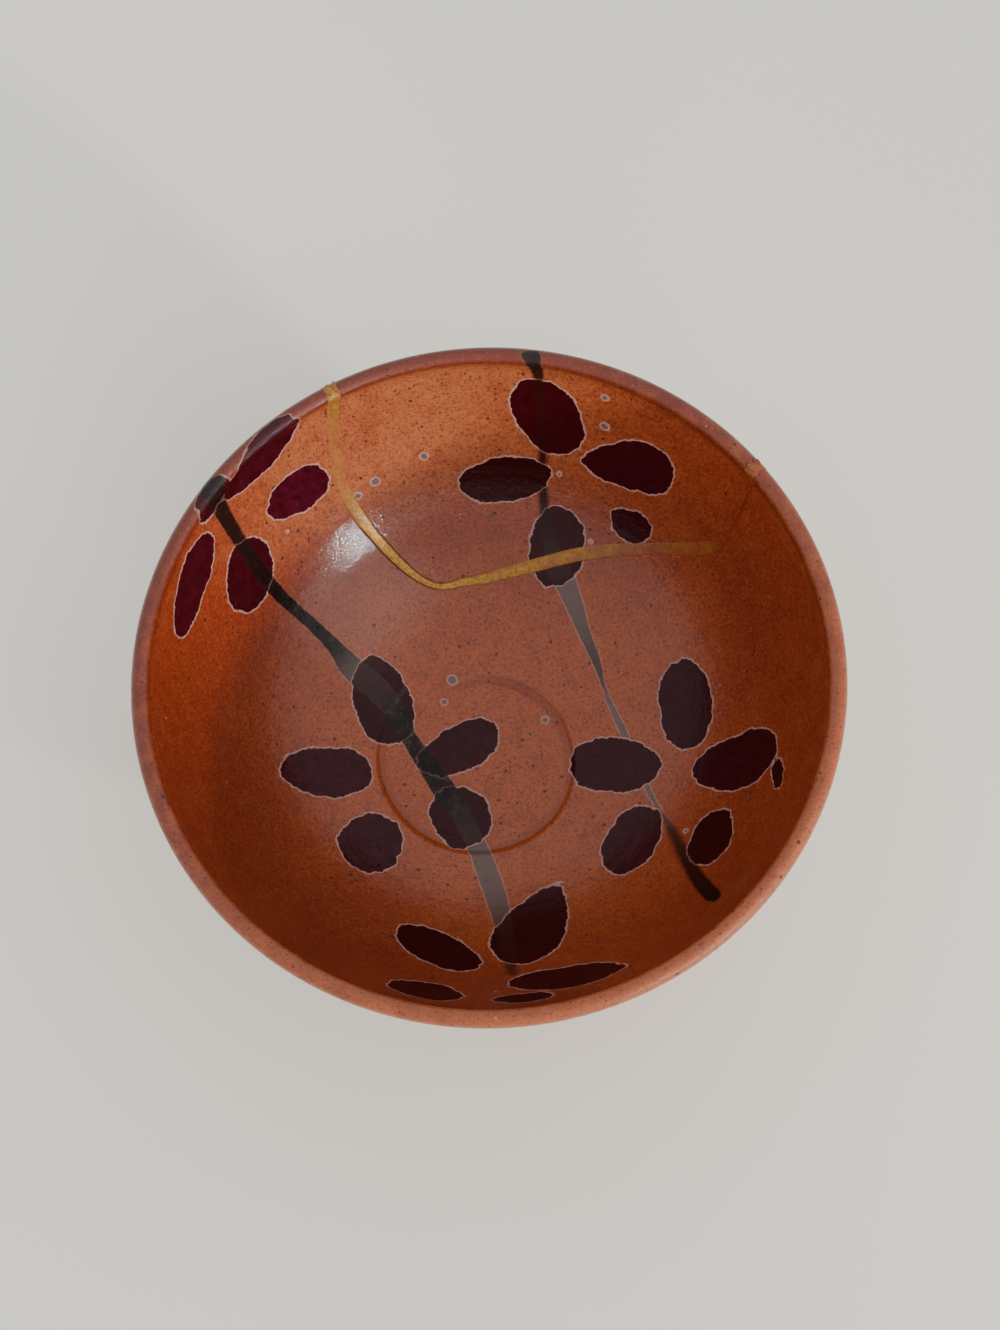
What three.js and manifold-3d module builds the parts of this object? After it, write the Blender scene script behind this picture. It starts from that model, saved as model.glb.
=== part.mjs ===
// Kintsugi bowl: a thrown bowl whose broken rim shard is set back in its place with gold lacquer.
// Millimetres, +Z up. The origin is the centre of the foot ring's underside.

import * as THREE from 'three';
import { mergeVertices } from 'three/addons/utils/BufferGeometryUtils.js';
import Module from 'manifold-3d';

const wasm = await Module();
wasm.setup();

// The thrown bowl.
const bowl = {
  insideRadius: 86, // where the inside wall meets the lip
  floorLevel: 10.5, // top of the floor at the centre
  insideDepth: 62.4, // from the floor up to the start of the lip
  roundShare: 0.58, // share of that depth that rises like a round bowl, the rest only near the lip
  steepPower: 6.5, // how late the rest rises
  wallAtLip: 3.4,
  wallAtFoot: 6.2,
  lipRadius: 90, // the lip's widest line
  lipLevel: 75.5, // height of that line
  lipRound: 2.3, // radius of the rounded lip
  footRadius: 33,
  footHeight: 7.6, // outside, up to where the wall runs into it
  footInside: 26.5,
  footRecess: 4.6, // depth of the hollow under the floor
  footBevel: 0.8, // on the ring's two lower edges
};

// The line of the break on the inside wall, from lip to lip: [distance from the axis, azimuth in degrees].
const breakLine = [
  [89.5, 113], [84, 115], [75, 118], [70, 118], [64, 117], [56, 114], [49, 109.5], [46, 104], [45.5, 95],
  [47.5, 81], [50.5, 71.5], [58, 56], [66, 43], [71, 35.5], [74, 33], [80, 33], [89.5, 37],
];

// The gold that fills the break.
const gold = {
  web: 0.6, // thickness between the two broken faces
  cap: 3, // width of the line over the joint
  capDepth: 0.25, // how far the line is let into the glaze
  proud: 0.35, // how far it stands above the glaze
  gap: 0.3, // clearance all round, between gold and pottery
};

// The spiral groove that the potter's finger left round the well of the bowl.
const fingerGroove = {
  centre: [-3, -3],
  startRadius: 21.8,
  endRadius: 26,
  startAzimuth: 130,
  turn: -330,
  width: 1.3,
  depth: 0.45,
};

// How finely round forms are divided.
const steps = { around: 52, inside: 8, lip: 8, outside: 6, breakLine: 22, rimArc: 12, fingerGroove: 18 };

// Distances along the wall's normal, from the inside surface: into the bowl, through the wall, far outside.
const reach = { intoBowl: -3, throughWall: 12, farOutside: 40 };

// Level of the inside wall at a distance r from the axis.
function insideLevel(r) {
  const x = r / bowl.insideRadius;
  const rise = bowl.roundShare * x ** 2 + (1 - bowl.roundShare) * x ** bowl.steepPower;
  return bowl.floorLevel + bowl.insideDepth * rise;
}

// Slope of the inside wall at r, as rise over run.
function insideSlope(r) {
  const x = r / bowl.insideRadius;
  const round = 2 * bowl.roundShare * x;
  const steep = bowl.steepPower * (1 - bowl.roundShare) * x ** (bowl.steepPower - 1);
  return (bowl.insideDepth / bowl.insideRadius) * (round + steep);
}

// Point of the outside wall, square behind the inside wall's point at r.
function outsidePoint(r) {
  const share = (r / bowl.insideRadius) ** 2;
  const thickness = THREE.MathUtils.lerp(bowl.wallAtFoot, bowl.wallAtLip, share);
  const angle = Math.atan(insideSlope(r));
  return new THREE.Vector2(r + thickness * Math.sin(angle), insideLevel(r) - thickness * Math.cos(angle));
}

// Half of the bowl's section, axis to axis: floor, inside wall, lip, outside wall, foot ring, hollow.
function section() {
  const points = [];
  for (let i = 0; i <= steps.inside; i += 1) {
    const r = bowl.insideRadius * (i / steps.inside) ** 0.8;
    points.push(new THREE.Vector2(r, insideLevel(r)));
  }
  const lipStart = 210;
  const lipEnd = -30;
  for (let i = 0; i <= steps.lip; i += 1) {
    const angle = THREE.MathUtils.degToRad(THREE.MathUtils.lerp(lipStart, lipEnd, i / steps.lip));
    const r = bowl.lipRadius - bowl.lipRound + bowl.lipRound * Math.cos(angle);
    points.push(new THREE.Vector2(r, bowl.lipLevel + bowl.lipRound * Math.sin(angle)));
  }
  const wallStart = 31.5; // inside radius above the line where the outside wall meets the foot ring
  for (let i = 0; i <= steps.outside; i += 1) {
    points.push(outsidePoint(THREE.MathUtils.lerp(bowl.insideRadius, wallStart, i / steps.outside)));
  }
  const bevel = bowl.footBevel;
  const foot = [
    [bowl.footRadius, bowl.footHeight],
    [bowl.footRadius, bevel],
    [bowl.footRadius - bevel, 0],
    [bowl.footInside + bevel, 0],
    [bowl.footInside, bevel],
    [bowl.footInside - bevel, bowl.footRecess - bevel],
    [bowl.footInside - 3 * bevel, bowl.footRecess],
    [0, bowl.footRecess],
  ];
  return points.concat(foot.map(([r, z]) => new THREE.Vector2(r, z)));
}

// The section with its surface moved out by a distance, or in where the distance is negative.
function sectionMoved(distance) {
  const points = section();
  const last = points.length - 1;
  return points.map((point, i) => {
    const before = points[Math.max(i - 1, 0)];
    const after = points[Math.min(i + 1, last)];
    const along = after.clone().sub(before).normalize();
    const outward = new THREE.Vector2(-along.y, along.x);
    if (i === 0) outward.set(0, 1);
    if (i === last) outward.set(0, -1);
    return point.clone().addScaledVector(outward, distance);
  });
}

// Volume inside a closed surface, negative where its faces point inward.
function signedVolume(positions, triangles) {
  const [a, b, c] = [new THREE.Vector3(), new THREE.Vector3(), new THREE.Vector3()];
  let volume = 0;
  for (let i = 0; i < triangles.length; i += 3) {
    a.fromArray(positions, 3 * triangles[i]);
    b.fromArray(positions, 3 * triangles[i + 1]);
    c.fromArray(positions, 3 * triangles[i + 2]);
    volume += a.dot(b.cross(c)) / 6;
  }
  return volume;
}

// A closed surface as a solid that can be joined and cut, its faces turned outward.
function solid(positions, triangles) {
  const geometry = new THREE.BufferGeometry();
  geometry.setAttribute('position', new THREE.Float32BufferAttribute(positions, 3));
  geometry.setIndex(Array.from(triangles));
  const merged = mergeVertices(geometry);
  const vertProperties = merged.attributes.position.array;
  const triVerts = Uint32Array.from(merged.index.array);
  if (signedVolume(vertProperties, triVerts) < 0) triVerts.reverse();
  return new wasm.Manifold(new wasm.Mesh({ numProp: 3, vertProperties, triVerts }));
}

// The solid turned about +Z from a section that starts and ends on the axis.
function turned(points) {
  const lathe = new THREE.LatheGeometry(points, steps.around);
  lathe.rotateX(Math.PI / 2);
  return solid(lathe.attributes.position.array, lathe.index.array);
}

// Plan point at a distance from the axis and an azimuth in degrees.
function polar(r, azimuth) {
  const angle = THREE.MathUtils.degToRad(azimuth);
  return new THREE.Vector3(r * Math.cos(angle), r * Math.sin(angle), 0);
}

// A station on the inside wall over a plan point: its place and the direction square out of the bowl.
function wallStation({ x, y }) {
  const r = Math.hypot(x, y);
  const slope = insideSlope(r);
  const outward = new THREE.Vector3((slope * x) / r, (slope * y) / r, -1).normalize();
  return { place: new THREE.Vector3(x, y, insideLevel(r)), outward };
}

// Stations along a smooth plan line laid on the inside wall, each with the direction across the line.
function stationsAlong(planPoints, count) {
  const curve = new THREE.CatmullRomCurve3(planPoints);
  const stations = curve.getSpacedPoints(count).map(wallStation);
  stations.forEach((station, i) => {
    const before = stations[Math.max(i - 1, 0)].place;
    const after = stations[Math.min(i + 1, count)].place;
    station.across = after.clone().sub(before).cross(station.outward).normalize();
  });
  return stations;
}

// A strip swept along stations, of a width across the line, from one depth to another.
function strip(stations, width, nearDepth, farDepth) {
  const corners = [[-0.5, nearDepth], [0.5, nearDepth], [0.5, farDepth], [-0.5, farDepth]];
  const count = corners.length;
  const positions = stations.flatMap(({ place, outward, across }) => corners.flatMap(([side, depth]) => {
    const corner = place.clone().addScaledVector(outward, depth).addScaledVector(across, side * width);
    return corner.toArray();
  }));
  const end = (stations.length - 1) * count;
  const triangles = [0, 2, 1, 0, 3, 2, end, end + 1, end + 2, end, end + 2, end + 3];
  for (let i = 0; i < end; i += count) {
    for (let k = 0; k < count; k += 1) {
      const a = i + k;
      const b = i + ((k + 1) % count);
      triangles.push(a, b, a + count, b, b + count, a + count);
    }
  }
  return solid(positions, triangles);
}

// The space that the shard takes up: inside the break line, closed by an arc above the lip.
function shardSpace(stations) {
  const loop = [...stations];
  const [lastRadius, lastAzimuth] = breakLine[breakLine.length - 1];
  const firstAzimuth = breakLine[0][1];
  for (let i = 1; i < steps.rimArc; i += 1) {
    const azimuth = THREE.MathUtils.lerp(lastAzimuth, firstAzimuth, i / steps.rimArc);
    loop.push(wallStation(polar(lastRadius, azimuth)));
  }
  const count = loop.length;
  const positions = [reach.intoBowl, reach.farOutside].flatMap((depth) => loop.flatMap(
    ({ place, outward }) => place.clone().addScaledVector(outward, depth).toArray(),
  ));
  const outline = loop.map(({ place }) => new THREE.Vector2(place.x, place.y));
  const faces = THREE.ShapeUtils.triangulateShape(outline, []);
  const triangles = faces.flatMap(([a, b, c]) => [a, b, c, a + count, c + count, b + count]);
  const clockwise = THREE.ShapeUtils.isClockWise(outline);
  for (let i = 0; i < count; i += 1) {
    const next = (i + 1) % count;
    const [a, b] = clockwise ? [next, i] : [i, next];
    triangles.push(a, a + count, b, b, a + count, b + count);
  }
  return solid(positions, triangles);
}

// The potter's spiral as a shallow solid to cut from the floor.
function fingerGrooveSolid() {
  const { centre, startRadius, endRadius, startAzimuth, turn, width, depth } = fingerGroove;
  const planPoints = Array.from({ length: steps.fingerGroove + 1 }, (_, i) => {
    const share = i / steps.fingerGroove;
    const point = polar(THREE.MathUtils.lerp(startRadius, endRadius, share), startAzimuth + turn * share);
    return point.add(new THREE.Vector3(...centre, 0));
  });
  return strip(stationsAlong(planPoints, steps.fingerGroove), width, reach.intoBowl, depth);
}

// A solid as a three.js mesh with its own name and material.
function piece(name, made, look) {
  const { vertProperties, triVerts } = made.getMesh();
  const geometry = new THREE.BufferGeometry();
  geometry.setAttribute('position', new THREE.Float32BufferAttribute(vertProperties, 3));
  geometry.setIndex(Array.from(triVerts));
  geometry.computeVertexNormals();
  const mesh = new THREE.Mesh(geometry, new THREE.MeshStandardMaterial(look));
  mesh.name = name;
  return mesh;
}

const breakStations = stationsAlong(breakLine.map(([r, azimuth]) => polar(r, azimuth)), steps.breakLine);
const alongBreak = (width) => strip(breakStations, width, reach.intoBowl, reach.throughWall);
const shardBlock = shardSpace(breakStations);

// The whole bowl, with the cleft of the break and the shallow bed for the gold line cut out of it.
const cleft = alongBreak(gold.web + 2 * gold.gap);
const bed = alongBreak(gold.cap + 2 * gold.gap).subtract(turned(sectionMoved(-gold.capDepth - gold.gap)));
const pottery = turned(section()).subtract(cleft).subtract(bed);

// The gold: a web through the wall, and a low line over it inside, over the lip and outside.
const upToProud = turned(sectionMoved(gold.proud));
const underLine = turned(sectionMoved(-gold.capDepth));
const goldLine = upToProud.intersect(alongBreak(gold.cap)).subtract(underLine);
const goldWeb = upToProud.intersect(alongBreak(gold.web));

const bowlBody = pottery.subtract(shardBlock).subtract(fingerGrooveSolid());
const rimShard = pottery.intersect(shardBlock);

const object = new THREE.Group();
object.add(piece('bowl_body', bowlBody, { color: '#6b2408', roughness: 0.28, metalness: 0 }));
object.add(piece('rim_shard', rimShard, { color: '#742a10', roughness: 0.28, metalness: 0 }));
object.add(piece('gold_seam', goldWeb.add(goldLine), { color: '#b9853f', roughness: 0.38, metalness: 0.85 }));

export default object;
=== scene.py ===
import bmesh
import bpy
import numpy as np
from mathutils import Matrix, Vector


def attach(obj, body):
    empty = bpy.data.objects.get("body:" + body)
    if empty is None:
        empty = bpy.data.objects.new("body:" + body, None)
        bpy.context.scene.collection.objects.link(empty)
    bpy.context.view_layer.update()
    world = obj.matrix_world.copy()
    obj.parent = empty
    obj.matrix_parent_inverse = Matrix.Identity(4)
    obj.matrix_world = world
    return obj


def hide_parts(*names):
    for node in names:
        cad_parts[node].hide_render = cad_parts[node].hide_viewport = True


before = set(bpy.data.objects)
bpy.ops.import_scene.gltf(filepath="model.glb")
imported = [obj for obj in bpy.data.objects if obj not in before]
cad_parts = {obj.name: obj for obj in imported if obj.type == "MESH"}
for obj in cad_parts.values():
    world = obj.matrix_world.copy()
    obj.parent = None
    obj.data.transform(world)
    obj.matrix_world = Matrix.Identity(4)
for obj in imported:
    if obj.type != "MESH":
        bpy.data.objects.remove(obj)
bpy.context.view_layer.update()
mm = 0.001  # lengths below are in millimetres, meshes in metres

# the thrown bowl; reach is the distance from the axis measured on the inside wall
bowl = {
    "insideRadius": 86.0,  # where the inside wall meets the lip
    "floorLevel": 10.5,
    "insideDepth": 62.4,
    "roundShare": 0.58,  # share of the depth that rises like a round bowl
    "steepPower": 6.5,  # how late the rest rises
    "wallAtLip": 3.4,
    "wallAtFoot": 6.2,
    "wallSteps": 500,  # points in the table of the wall
    "lipRadius": 90.0,
    "lipLevel": 75.5,
    "lipRound": 2.3,
    "lipStart": 206.0,  # angle round the lip where it leaves the inside wall
    "lipEnd": -36.0,
    "lipSteps": 60,
    "lipGap": 0.15,  # reach between the wall's last point and the lip's first
    "topReach": 88.0,  # reach given to the lip's top line
    "sway": 0.003,  # share by which a hand-thrown wall wanders inwards
    "dip": 0.005,  # share by which the lip dips
    "dipLevel": 78,  # level where the dip is full
    "waves": (0.5, 0.3, 0.2),  # steady part, long wave and short wave of sway and dip
    "lipColourIn": 86.6,  # reach where the lip's colour starts inside and outside
    "lipColourOut": 86.3,
    "footTop": 31.5,  # reach where the outside wall runs into the foot ring
    "aroundSteps": 360,
    "ringGaps": ((0, 1.6), (16, 0.55), (33, 1.0), (84.2, 0.5)),  # reach, and gap between rings from there on
}
# the foot's section from the outside inwards: distance from the axis, level
footProfile = [(33.2, 8.6), (32.9, 4), (32.6, 1.2), (31.6, 0), (28, 0), (27, 0.5), (26.4, 1.6),
               (25.8, 3.6), (23.6, 4.7), (12, 5), (0, 5.1)]
relief = {
    "throwingRing": 0.012,  # height of the faint rings from throwing
    "ringSpacing": 5.2,
    "outerRing": 0.035,  # height of the rings on the outside
    "outerFade": (84, 4),  # reach where they end, and over what distance
    "lipGroove": 0.22,  # depth, reach and width of the fine line under the lip
    "lipGrooveReach": 85.3,
    "lipGrooveWidth": 0.45,
    "grooveCentre": (-3.0, -3.0),
    "grooveStart": 130,  # azimuth where the spiral starts
    "grooveTurns": (0, 0.15, 0.34, 0.6, 0.86, 1.0),  # share of the turn, and the spiral's radius there
    "grooveRadii": (22.4, 23.2, 22.6, 24.8, 27.6, 28.4),
    "grooveStrength": (0.0, 1.0, 0.85, 1.0, 0.9, 0.3),
    "grooveWidth": 1.1,
    "grooveDepth": 0.6,
    "bankHeight": 0.3,  # share of the depth, on either side of the groove
    "bankOffset": 1.9,  # in groove widths
}


def insideLevel(r):
    # a parabola for the round part plus a steep power of the distance near the lip
    x = r / bowl["insideRadius"]
    return bowl["floorLevel"] + bowl["insideDepth"] * (
        bowl["roundShare"] * x**2 + (1 - bowl["roundShare"]) * x ** bowl["steepPower"])


def insideSlope(r):
    # derivative of insideLevel
    x = r / bowl["insideRadius"]
    steep = bowl["steepPower"] * (1 - bowl["roundShare"]) * x ** (bowl["steepPower"] - 1)
    return bowl["insideDepth"] / bowl["insideRadius"] * (2 * bowl["roundShare"] * x + steep)


def lipArc(startAngle):
    # points on a circle round the middle of the lip, from the start to the top
    angle = np.radians(np.linspace(startAngle, 90, bowl["lipSteps"]))
    middle = bowl["lipRadius"] - bowl["lipRound"]
    return middle + bowl["lipRound"] * np.cos(angle), bowl["lipLevel"] + bowl["lipRound"] * np.sin(angle)


def wallCurves():
    # both sides of the wall as tables over the reach: distance from the axis, level and normal; the outer side
    # lies below the inner one by a thickness that falls with the square of the reach
    inside = bowl["insideRadius"]
    reach = np.linspace(0, inside, bowl["wallSteps"])
    angle = np.arctan(insideSlope(reach))
    thickness = bowl["wallAtFoot"] + (bowl["wallAtLip"] - bowl["wallAtFoot"]) * (reach / inside) ** 2
    inner = [reach, insideLevel(reach)]
    outer = [reach + thickness * np.sin(angle), insideLevel(reach) - thickness * np.cos(angle)]
    lipReach = np.linspace(inside + bowl["lipGap"], bowl["topReach"], bowl["lipSteps"])
    tables = {}
    for side, wall, start in (("inner", inner, "lipStart"), ("outer", outer, "lipEnd")):
        r, z = (np.concatenate(both) for both in zip(wall, lipArc(bowl[start])))
        length = np.concatenate([[0], np.cumsum(np.hypot(np.diff(r), np.diff(z)))])
        alongR, alongZ = np.gradient(r, length), np.gradient(z, length)
        turn = 1 if side == "inner" else -1  # the inner normal points into the bowl, the outer one away
        tables[side] = {
            "reach": np.concatenate([reach, lipReach]), "r": r, "z": z, "length": length,
            "nr": -turn * alongZ, "nz": turn * alongR,
        }
    return tables


curves = wallCurves()


def climbAt(reach, side="inner"):
    # way walked up the wall from the middle of the floor
    return np.interp(reach, curves[side]["reach"], curves[side]["length"])


def wallPoint(reach, azimuth, side):
    # a point of the inner or outer face and its normal: the table's point turned to the azimuth, drawn in by
    # the sway and down by the dip, each a steady part plus two waves round the bowl
    curve = curves[side]
    r, z, nr, nz = (np.interp(reach, curve["reach"], curve[key]) for key in ("r", "z", "nr", "nz"))
    steady, slow, quick = bowl["waves"]
    sway = steady + slow * np.cos(2 * azimuth + 0.8) + quick * np.cos(3 * azimuth - 1)
    dip = steady + slow * np.sin(2 * azimuth) + quick * np.cos(5 * azimuth)
    r = r * (1 - bowl["sway"] * sway)
    z = z * (1 - bowl["dip"] * dip * (z / bowl["dipLevel"]) ** 2)
    flat = np.stack([np.cos(azimuth), np.sin(azimuth), np.zeros_like(azimuth)], -1)
    up = np.array([0.0, 0.0, 1.0])
    point = flat * r[..., None] + up * z[..., None]
    normal = flat * nr[..., None] + up * nz[..., None]
    return point, normal / np.linalg.norm(normal, axis=-1, keepdims=True)


def smoothLine(points, perSpan):
    # Catmull-Rom curve: a cubic for each span that passes its two points, with slopes of half the step
    # between their neighbours; the ends are mirrored
    p = np.array(points, float)
    p = np.vstack([2 * p[0] - p[1], p, 2 * p[-1] - p[-2]])
    t = np.linspace(0, 1, perSpan, endpoint=False)[:, None]
    spans = [0.5 * (2 * b + (c - a) * t + (2 * a - 5 * b + 4 * c - d) * t**2 + (3 * b - a - 3 * c + d) * t**3)
             for a, b, c, d in zip(p, p[1:], p[2:], p[3:])]
    return np.vstack(spans + [p[-2:-1]])


def polar(reach, azimuthDegrees):
    # plan points: the distance from the axis times cosine and sine of the azimuth
    angle = np.radians(azimuthDegrees)
    return np.stack([reach * np.cos(angle), reach * np.sin(angle)], -1)


def reachAndAzimuth(plan):
    # the way back from plan points
    return np.hypot(plan[:, 0], plan[:, 1]), np.arctan2(plan[:, 1], plan[:, 0])


# stations of the break: distance from the axis, azimuth, width of the gold line, how worn the gold is
breakStations = [
    (89.5, 113, 4.6, 0.5), (86.6, 113.8, 4.4, 0.46), (84, 115, 4.3, 0.76), (80, 116.6, 4.3, 0.84),
    (75.5, 118, 4, 0.78), (70.5, 118, 4.1, 0.46), (64.5, 116.8, 4, 0.1), (56.5, 114, 3.5, 0),
    (50, 110, 2.7, 0.05), (46.3, 104.4, 2.1, 0.16), (45.9, 96, 2.9, 0.22), (46.3, 88, 3.6, 0.24),
    (48, 80, 4.1, 0.3), (51, 71, 4.3, 0.38), (54.8, 63, 4.3, 0.5), (58.4, 56, 4.2, 0.64),
    (62, 49.5, 4.2, 0.78), (66, 43, 4.4, 0.88), (70.2, 37.3, 4.6, 0.84), (73, 34.2, 4.4, 0.82),
    (75.4, 32.8, 3, 1.1), (80, 33.2, 1.3, 1.6), (84.5, 34, 1.6, 1.6), (86.9, 34.6, 3.8, 0.76),
    (89.5, 35.5, 4, 0.9),
]
seam = {
    "web": 0.5,  # thickness of the gold between the broken faces
    "gap": 0.9,  # distance between the broken faces
    "proud": 0.17,  # height of the line above the glaze
    "sunk": 0.06,  # how deep the line's edges sit in the glaze
    "rootDepth": 0.3,  # how deep the web meets the line
    "fullWidth": 3.2,  # width of line that has the full height
    "flattened": 0.75,  # share of the height that wear takes
    "crownPower": (0.45, 0.36),  # power that rounds the line's top, and what wear takes from it
    "wobble": 0.12,  # share by which the width varies
    "acrossSteps": 11,
    "stationSpacing": 0.7,
    "overTop": 1.2,  # how far the stations run past the lip's top
    "lipStations": (6, 25),  # stations at each end that are made finer, and how many they become
    "near": (40, 20),  # least reach and least y of points near the break
    "far": 50.0,  # distance given to all others
    "loopRadius": 140.0,  # where the loop round the shard closes
}


def stationLine(stations, perSpan):
    # smooth line through stations: their plan points, with their other columns beside them
    rows = np.array(stations, float)
    return smoothLine(np.column_stack([polar(rows[:, 0], rows[:, 1]), rows[:, 2:]]), perSpan)


def breakCurve():
    # plan points, width and wear along the break, evenly spaced over the inside wall
    line = stationLine(breakStations, 24)
    line = line[np.hypot(line[:, 0], line[:, 1]) <= bowl["topReach"] + seam["overTop"]]
    spots, _ = wallPoint(*reachAndAzimuth(line), "inner")
    length = np.concatenate([[0], np.cumsum(np.linalg.norm(np.diff(spots, axis=0), axis=1))])
    even = np.linspace(0, length[-1], int(length[-1] / seam["stationSpacing"]))
    return np.column_stack([np.interp(even, length, line[:, k]) for k in range(4)])


breakLine = breakCurve()
print("break line:", len(breakLine), "stations")


def distanceToLine(points, line):
    # shortest distance from each point to a polyline, and the place along it counted in segments: the foot of
    # the perpendicular on each segment, held between its ends
    best = np.full(len(points), 1e9)
    place = np.zeros(len(points))
    for k, (a, b) in enumerate(zip(line[:-1], line[1:])):
        along = b - a
        share = np.clip((points - a) @ along / (along @ along), 0, 1)
        gap = np.linalg.norm(points - a - share[:, None] * along, axis=1)
        nearer = gap < best
        best[nearer], place[nearer] = gap[nearer], k + share[nearer]
    return best, place


def insideLoop(points, loop):
    # even-odd count of the loop's edges that lie to the right of each plan point
    inside = np.zeros(len(points), bool)
    for (x1, y1), (x2, y2) in zip(loop, np.roll(loop, -1, axis=0)):
        if y1 != y2:
            crosses = (points[:, 1] > min(y1, y2)) & (points[:, 1] <= max(y1, y2))
            inside ^= crosses & (points[:, 0] < x1 + (points[:, 1] - y1) * (x2 - x1) / (y2 - y1))
    return inside


def breakDistance(reach, azimuth):
    # distance to the break over the inside wall, positive on the bowl and negative on the shard
    flatReach, flatAzimuth = np.ravel(reach), np.ravel(azimuth)
    plan = np.column_stack([flatReach * np.cos(flatAzimuth), flatReach * np.sin(flatAzimuth)])
    distance = np.full(len(plan), seam["far"])
    near = (flatReach > seam["near"][0]) & (plan[:, 1] > seam["near"][1])
    line = breakLine[::2, :2]
    ends = np.degrees(np.arctan2(line[[-1, 0], 1], line[[-1, 0], 0]))
    loop = np.vstack([line, polar(seam["loopRadius"], np.linspace(ends[0], ends[1], 20))])
    line3 = np.column_stack([line, insideLevel(np.hypot(line[:, 0], line[:, 1]))])
    plan3 = np.column_stack([plan[near], insideLevel(flatReach[near])])
    gap, _ = distanceToLine(plan3, line3)
    distance[near] = np.where(insideLoop(plan[near], loop), -gap, gap)
    return distance.reshape(np.shape(reach))


# leaves: distance from the axis, azimuth, length, width, turn from the way round, egg, point, tone
leaves = [
    (85.9, 129.9, 27.8, 12.2, -13, -0.1, 0.12, 0.55), (78, 126.9, 19.6, 13.4, 9, -0.04, 0, 0.8),
    (82.5, 155.3, 28.6, 12.2, -12, -0.18, 0.08, 0.5), (74.7, 145.3, 20.5, 16.2, -42, 0, 0, 0.4),
    (33.2, 153, 25, 16.2, -42, 0.05, 0.05, 0.25), (10.1, 172, 24.5, 12.8, 57, -0.12, 0.05, 0.5),
    (21.1, -120.2, 18.5, 16.2, 42, 0, 0, 0.3), (45.9, -173.3, 27, 14.2, -88, 0.03, 0, 0.6),
    (43.2, -143.5, 19.5, 16.6, 77, 0, 0, 0.55), (61.8, -107.6, 25.5, 14, 24, 0.1, 0.05, 0),
    (77.5, -106.3, 19.5, 14.5, -10, 0.05, 0.2, 0.1), (53.6, -82.7, 32.5, 17.8, 122, 0.26, -0.55, 0.1),
    (73.8, -78.9, 31.5, 15, 22, 0.1, 0.35, 0.1), (78.5, -88, 15.4, 9, 5, 0, 0.2, 0.1),
    (79.9, 75, 26.5, 18, -118, 0.06, 0, 0.25), (68.2, 83, 25.5, 13.5, 168, 0.05, 0.12, 0),
    (76.2, 57, 27, 15.4, 155, 0.25, -0.08, 0.3), (55.9, 67.9, 22.8, 15.2, -96, 0.08, 0.05, 0.3),
    (66.4, 51.8, 12.2, 9.4, 172, 0.02, 0, 0.25), (52.2, 5.2, 25, 16.3, -175, 0.08, 0, 0.35),
    (65.2, -13.9, 31, 15.8, 84, 0.15, -0.12, 0.4), (75.9, -18.4, 10.6, 4.8, -30, 0, 0.4, 0),
    (32.9, -14.2, 26.2, 15.6, 91, 0, 0.05, 0.5), (46.2, -41.6, 21.5, 15.6, 168, 0.08, 0, 0.5),
    (65.2, -33.3, 17.4, 14.8, 146, 0.03, 0, 0), (86.4, 141.6, 9.5, 13.5, -100, 0, 0.1, 0.35),
]
# drops of slip: distance from the axis, azimuth, diameter
drops = [
    (72.5, 111.4, 2.7), (73.9, 100, 2.5), (84.3, 64.8, 2.2), (80.4, 63.8, 2.7), (23, 116.4, 2.7),
    (19.5, 131, 1.8), (16, 28, 2.1), (70.5, 71, 1.6), (71.6, 116, 2.3), (59.4, 59.5, 1.5),
    (57.6, -33, 1.6), (74.1, 133, 1.1),
]
# stems: distance from the axis, azimuth, width, greyness, darkness
leftStem = [
    (90, 140, 7.5, 0.4, 0.85), (87, 140.4, 6.5, 0.2, 0.92), (84, 141.2, 4.8, 0.1, 0.9),
    (79, 142, 3.9, 0.1, 0.88), (74, 142.8, 4.2, 0.15, 0.95), (68, 143.6, 3.9, 0.15, 1),
    (60, 143.7, 3.4, 0.15, 1), (52, 144.4, 4, 0.3, 0.95), (44, 147.2, 6.6, 0.95, 0.35),
    (36, 149, 7.2, 1, 0.4), (29.5, 154, 6, 0.7, 0.85), (24, 166.5, 4.6, 0.6, 0.9),
    (19.6, -177, 5.2, 0.3, 1), (17.6, -147, 6.4, 0.35, 0.95), (20.6, -120, 5.5, 0.6, 0.75),
    (26, -107, 5.2, 0.9, 0.25), (30, -101.5, 5.4, 1, 0.05), (38, -95.8, 5.8, 1, 0.05),
    (46, -92.6, 5.4, 0.8, 0.15), (55, -91, 4.2, 0.3, 0.3), (68, -89.8, 3, 0, 0.3),
]
rightStem = [
    (92, 78.8, 4.6, 0.3, 0.8), (87, 78, 4, 0.2, 0.85), (84.5, 77, 2.8, 0, 0.7), (80, 76.2, 2.4, 0, 0.6),
    (74, 75.2, 2.4, 0, 0.6), (69, 74.6, 2.5, 0, 0.6), (63, 73, 2.8, 0.05, 0.6), (57, 70.6, 3.6, 0.3, 0.6),
    (51, 65.8, 6.4, 0.95, 0.2), (47.4, 60.8, 5.7, 1, 0.05), (43.4, 54.8, 4.6, 1, 0.1),
    (40, 48.6, 3.5, 1, 0.2), (36.5, 37, 2.5, 0.9, 0.4), (33.9, 25, 1.2, 0.8, 0.3), (33.5, 14.5, 1.7, 1, 0),
    (35.2, 0, 2, 1, 0), (39, -14, 1.8, 1, 0), (43.5, -23, 1.5, 1, 0), (48, -28.8, 1.4, 0.8, 0.1),
    (54, -34, 2.6, 0, 0.3), (60, -38.6, 3.6, 0, 0.5), (67, -42.9, 3.9, 0, 0.7), (73, -45.4, 4.2, 0, 0.9),
    (75.6, -46.2, 4.2, 0, 1), (77.2, -46.6, 3, 0, 1),
]
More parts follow.
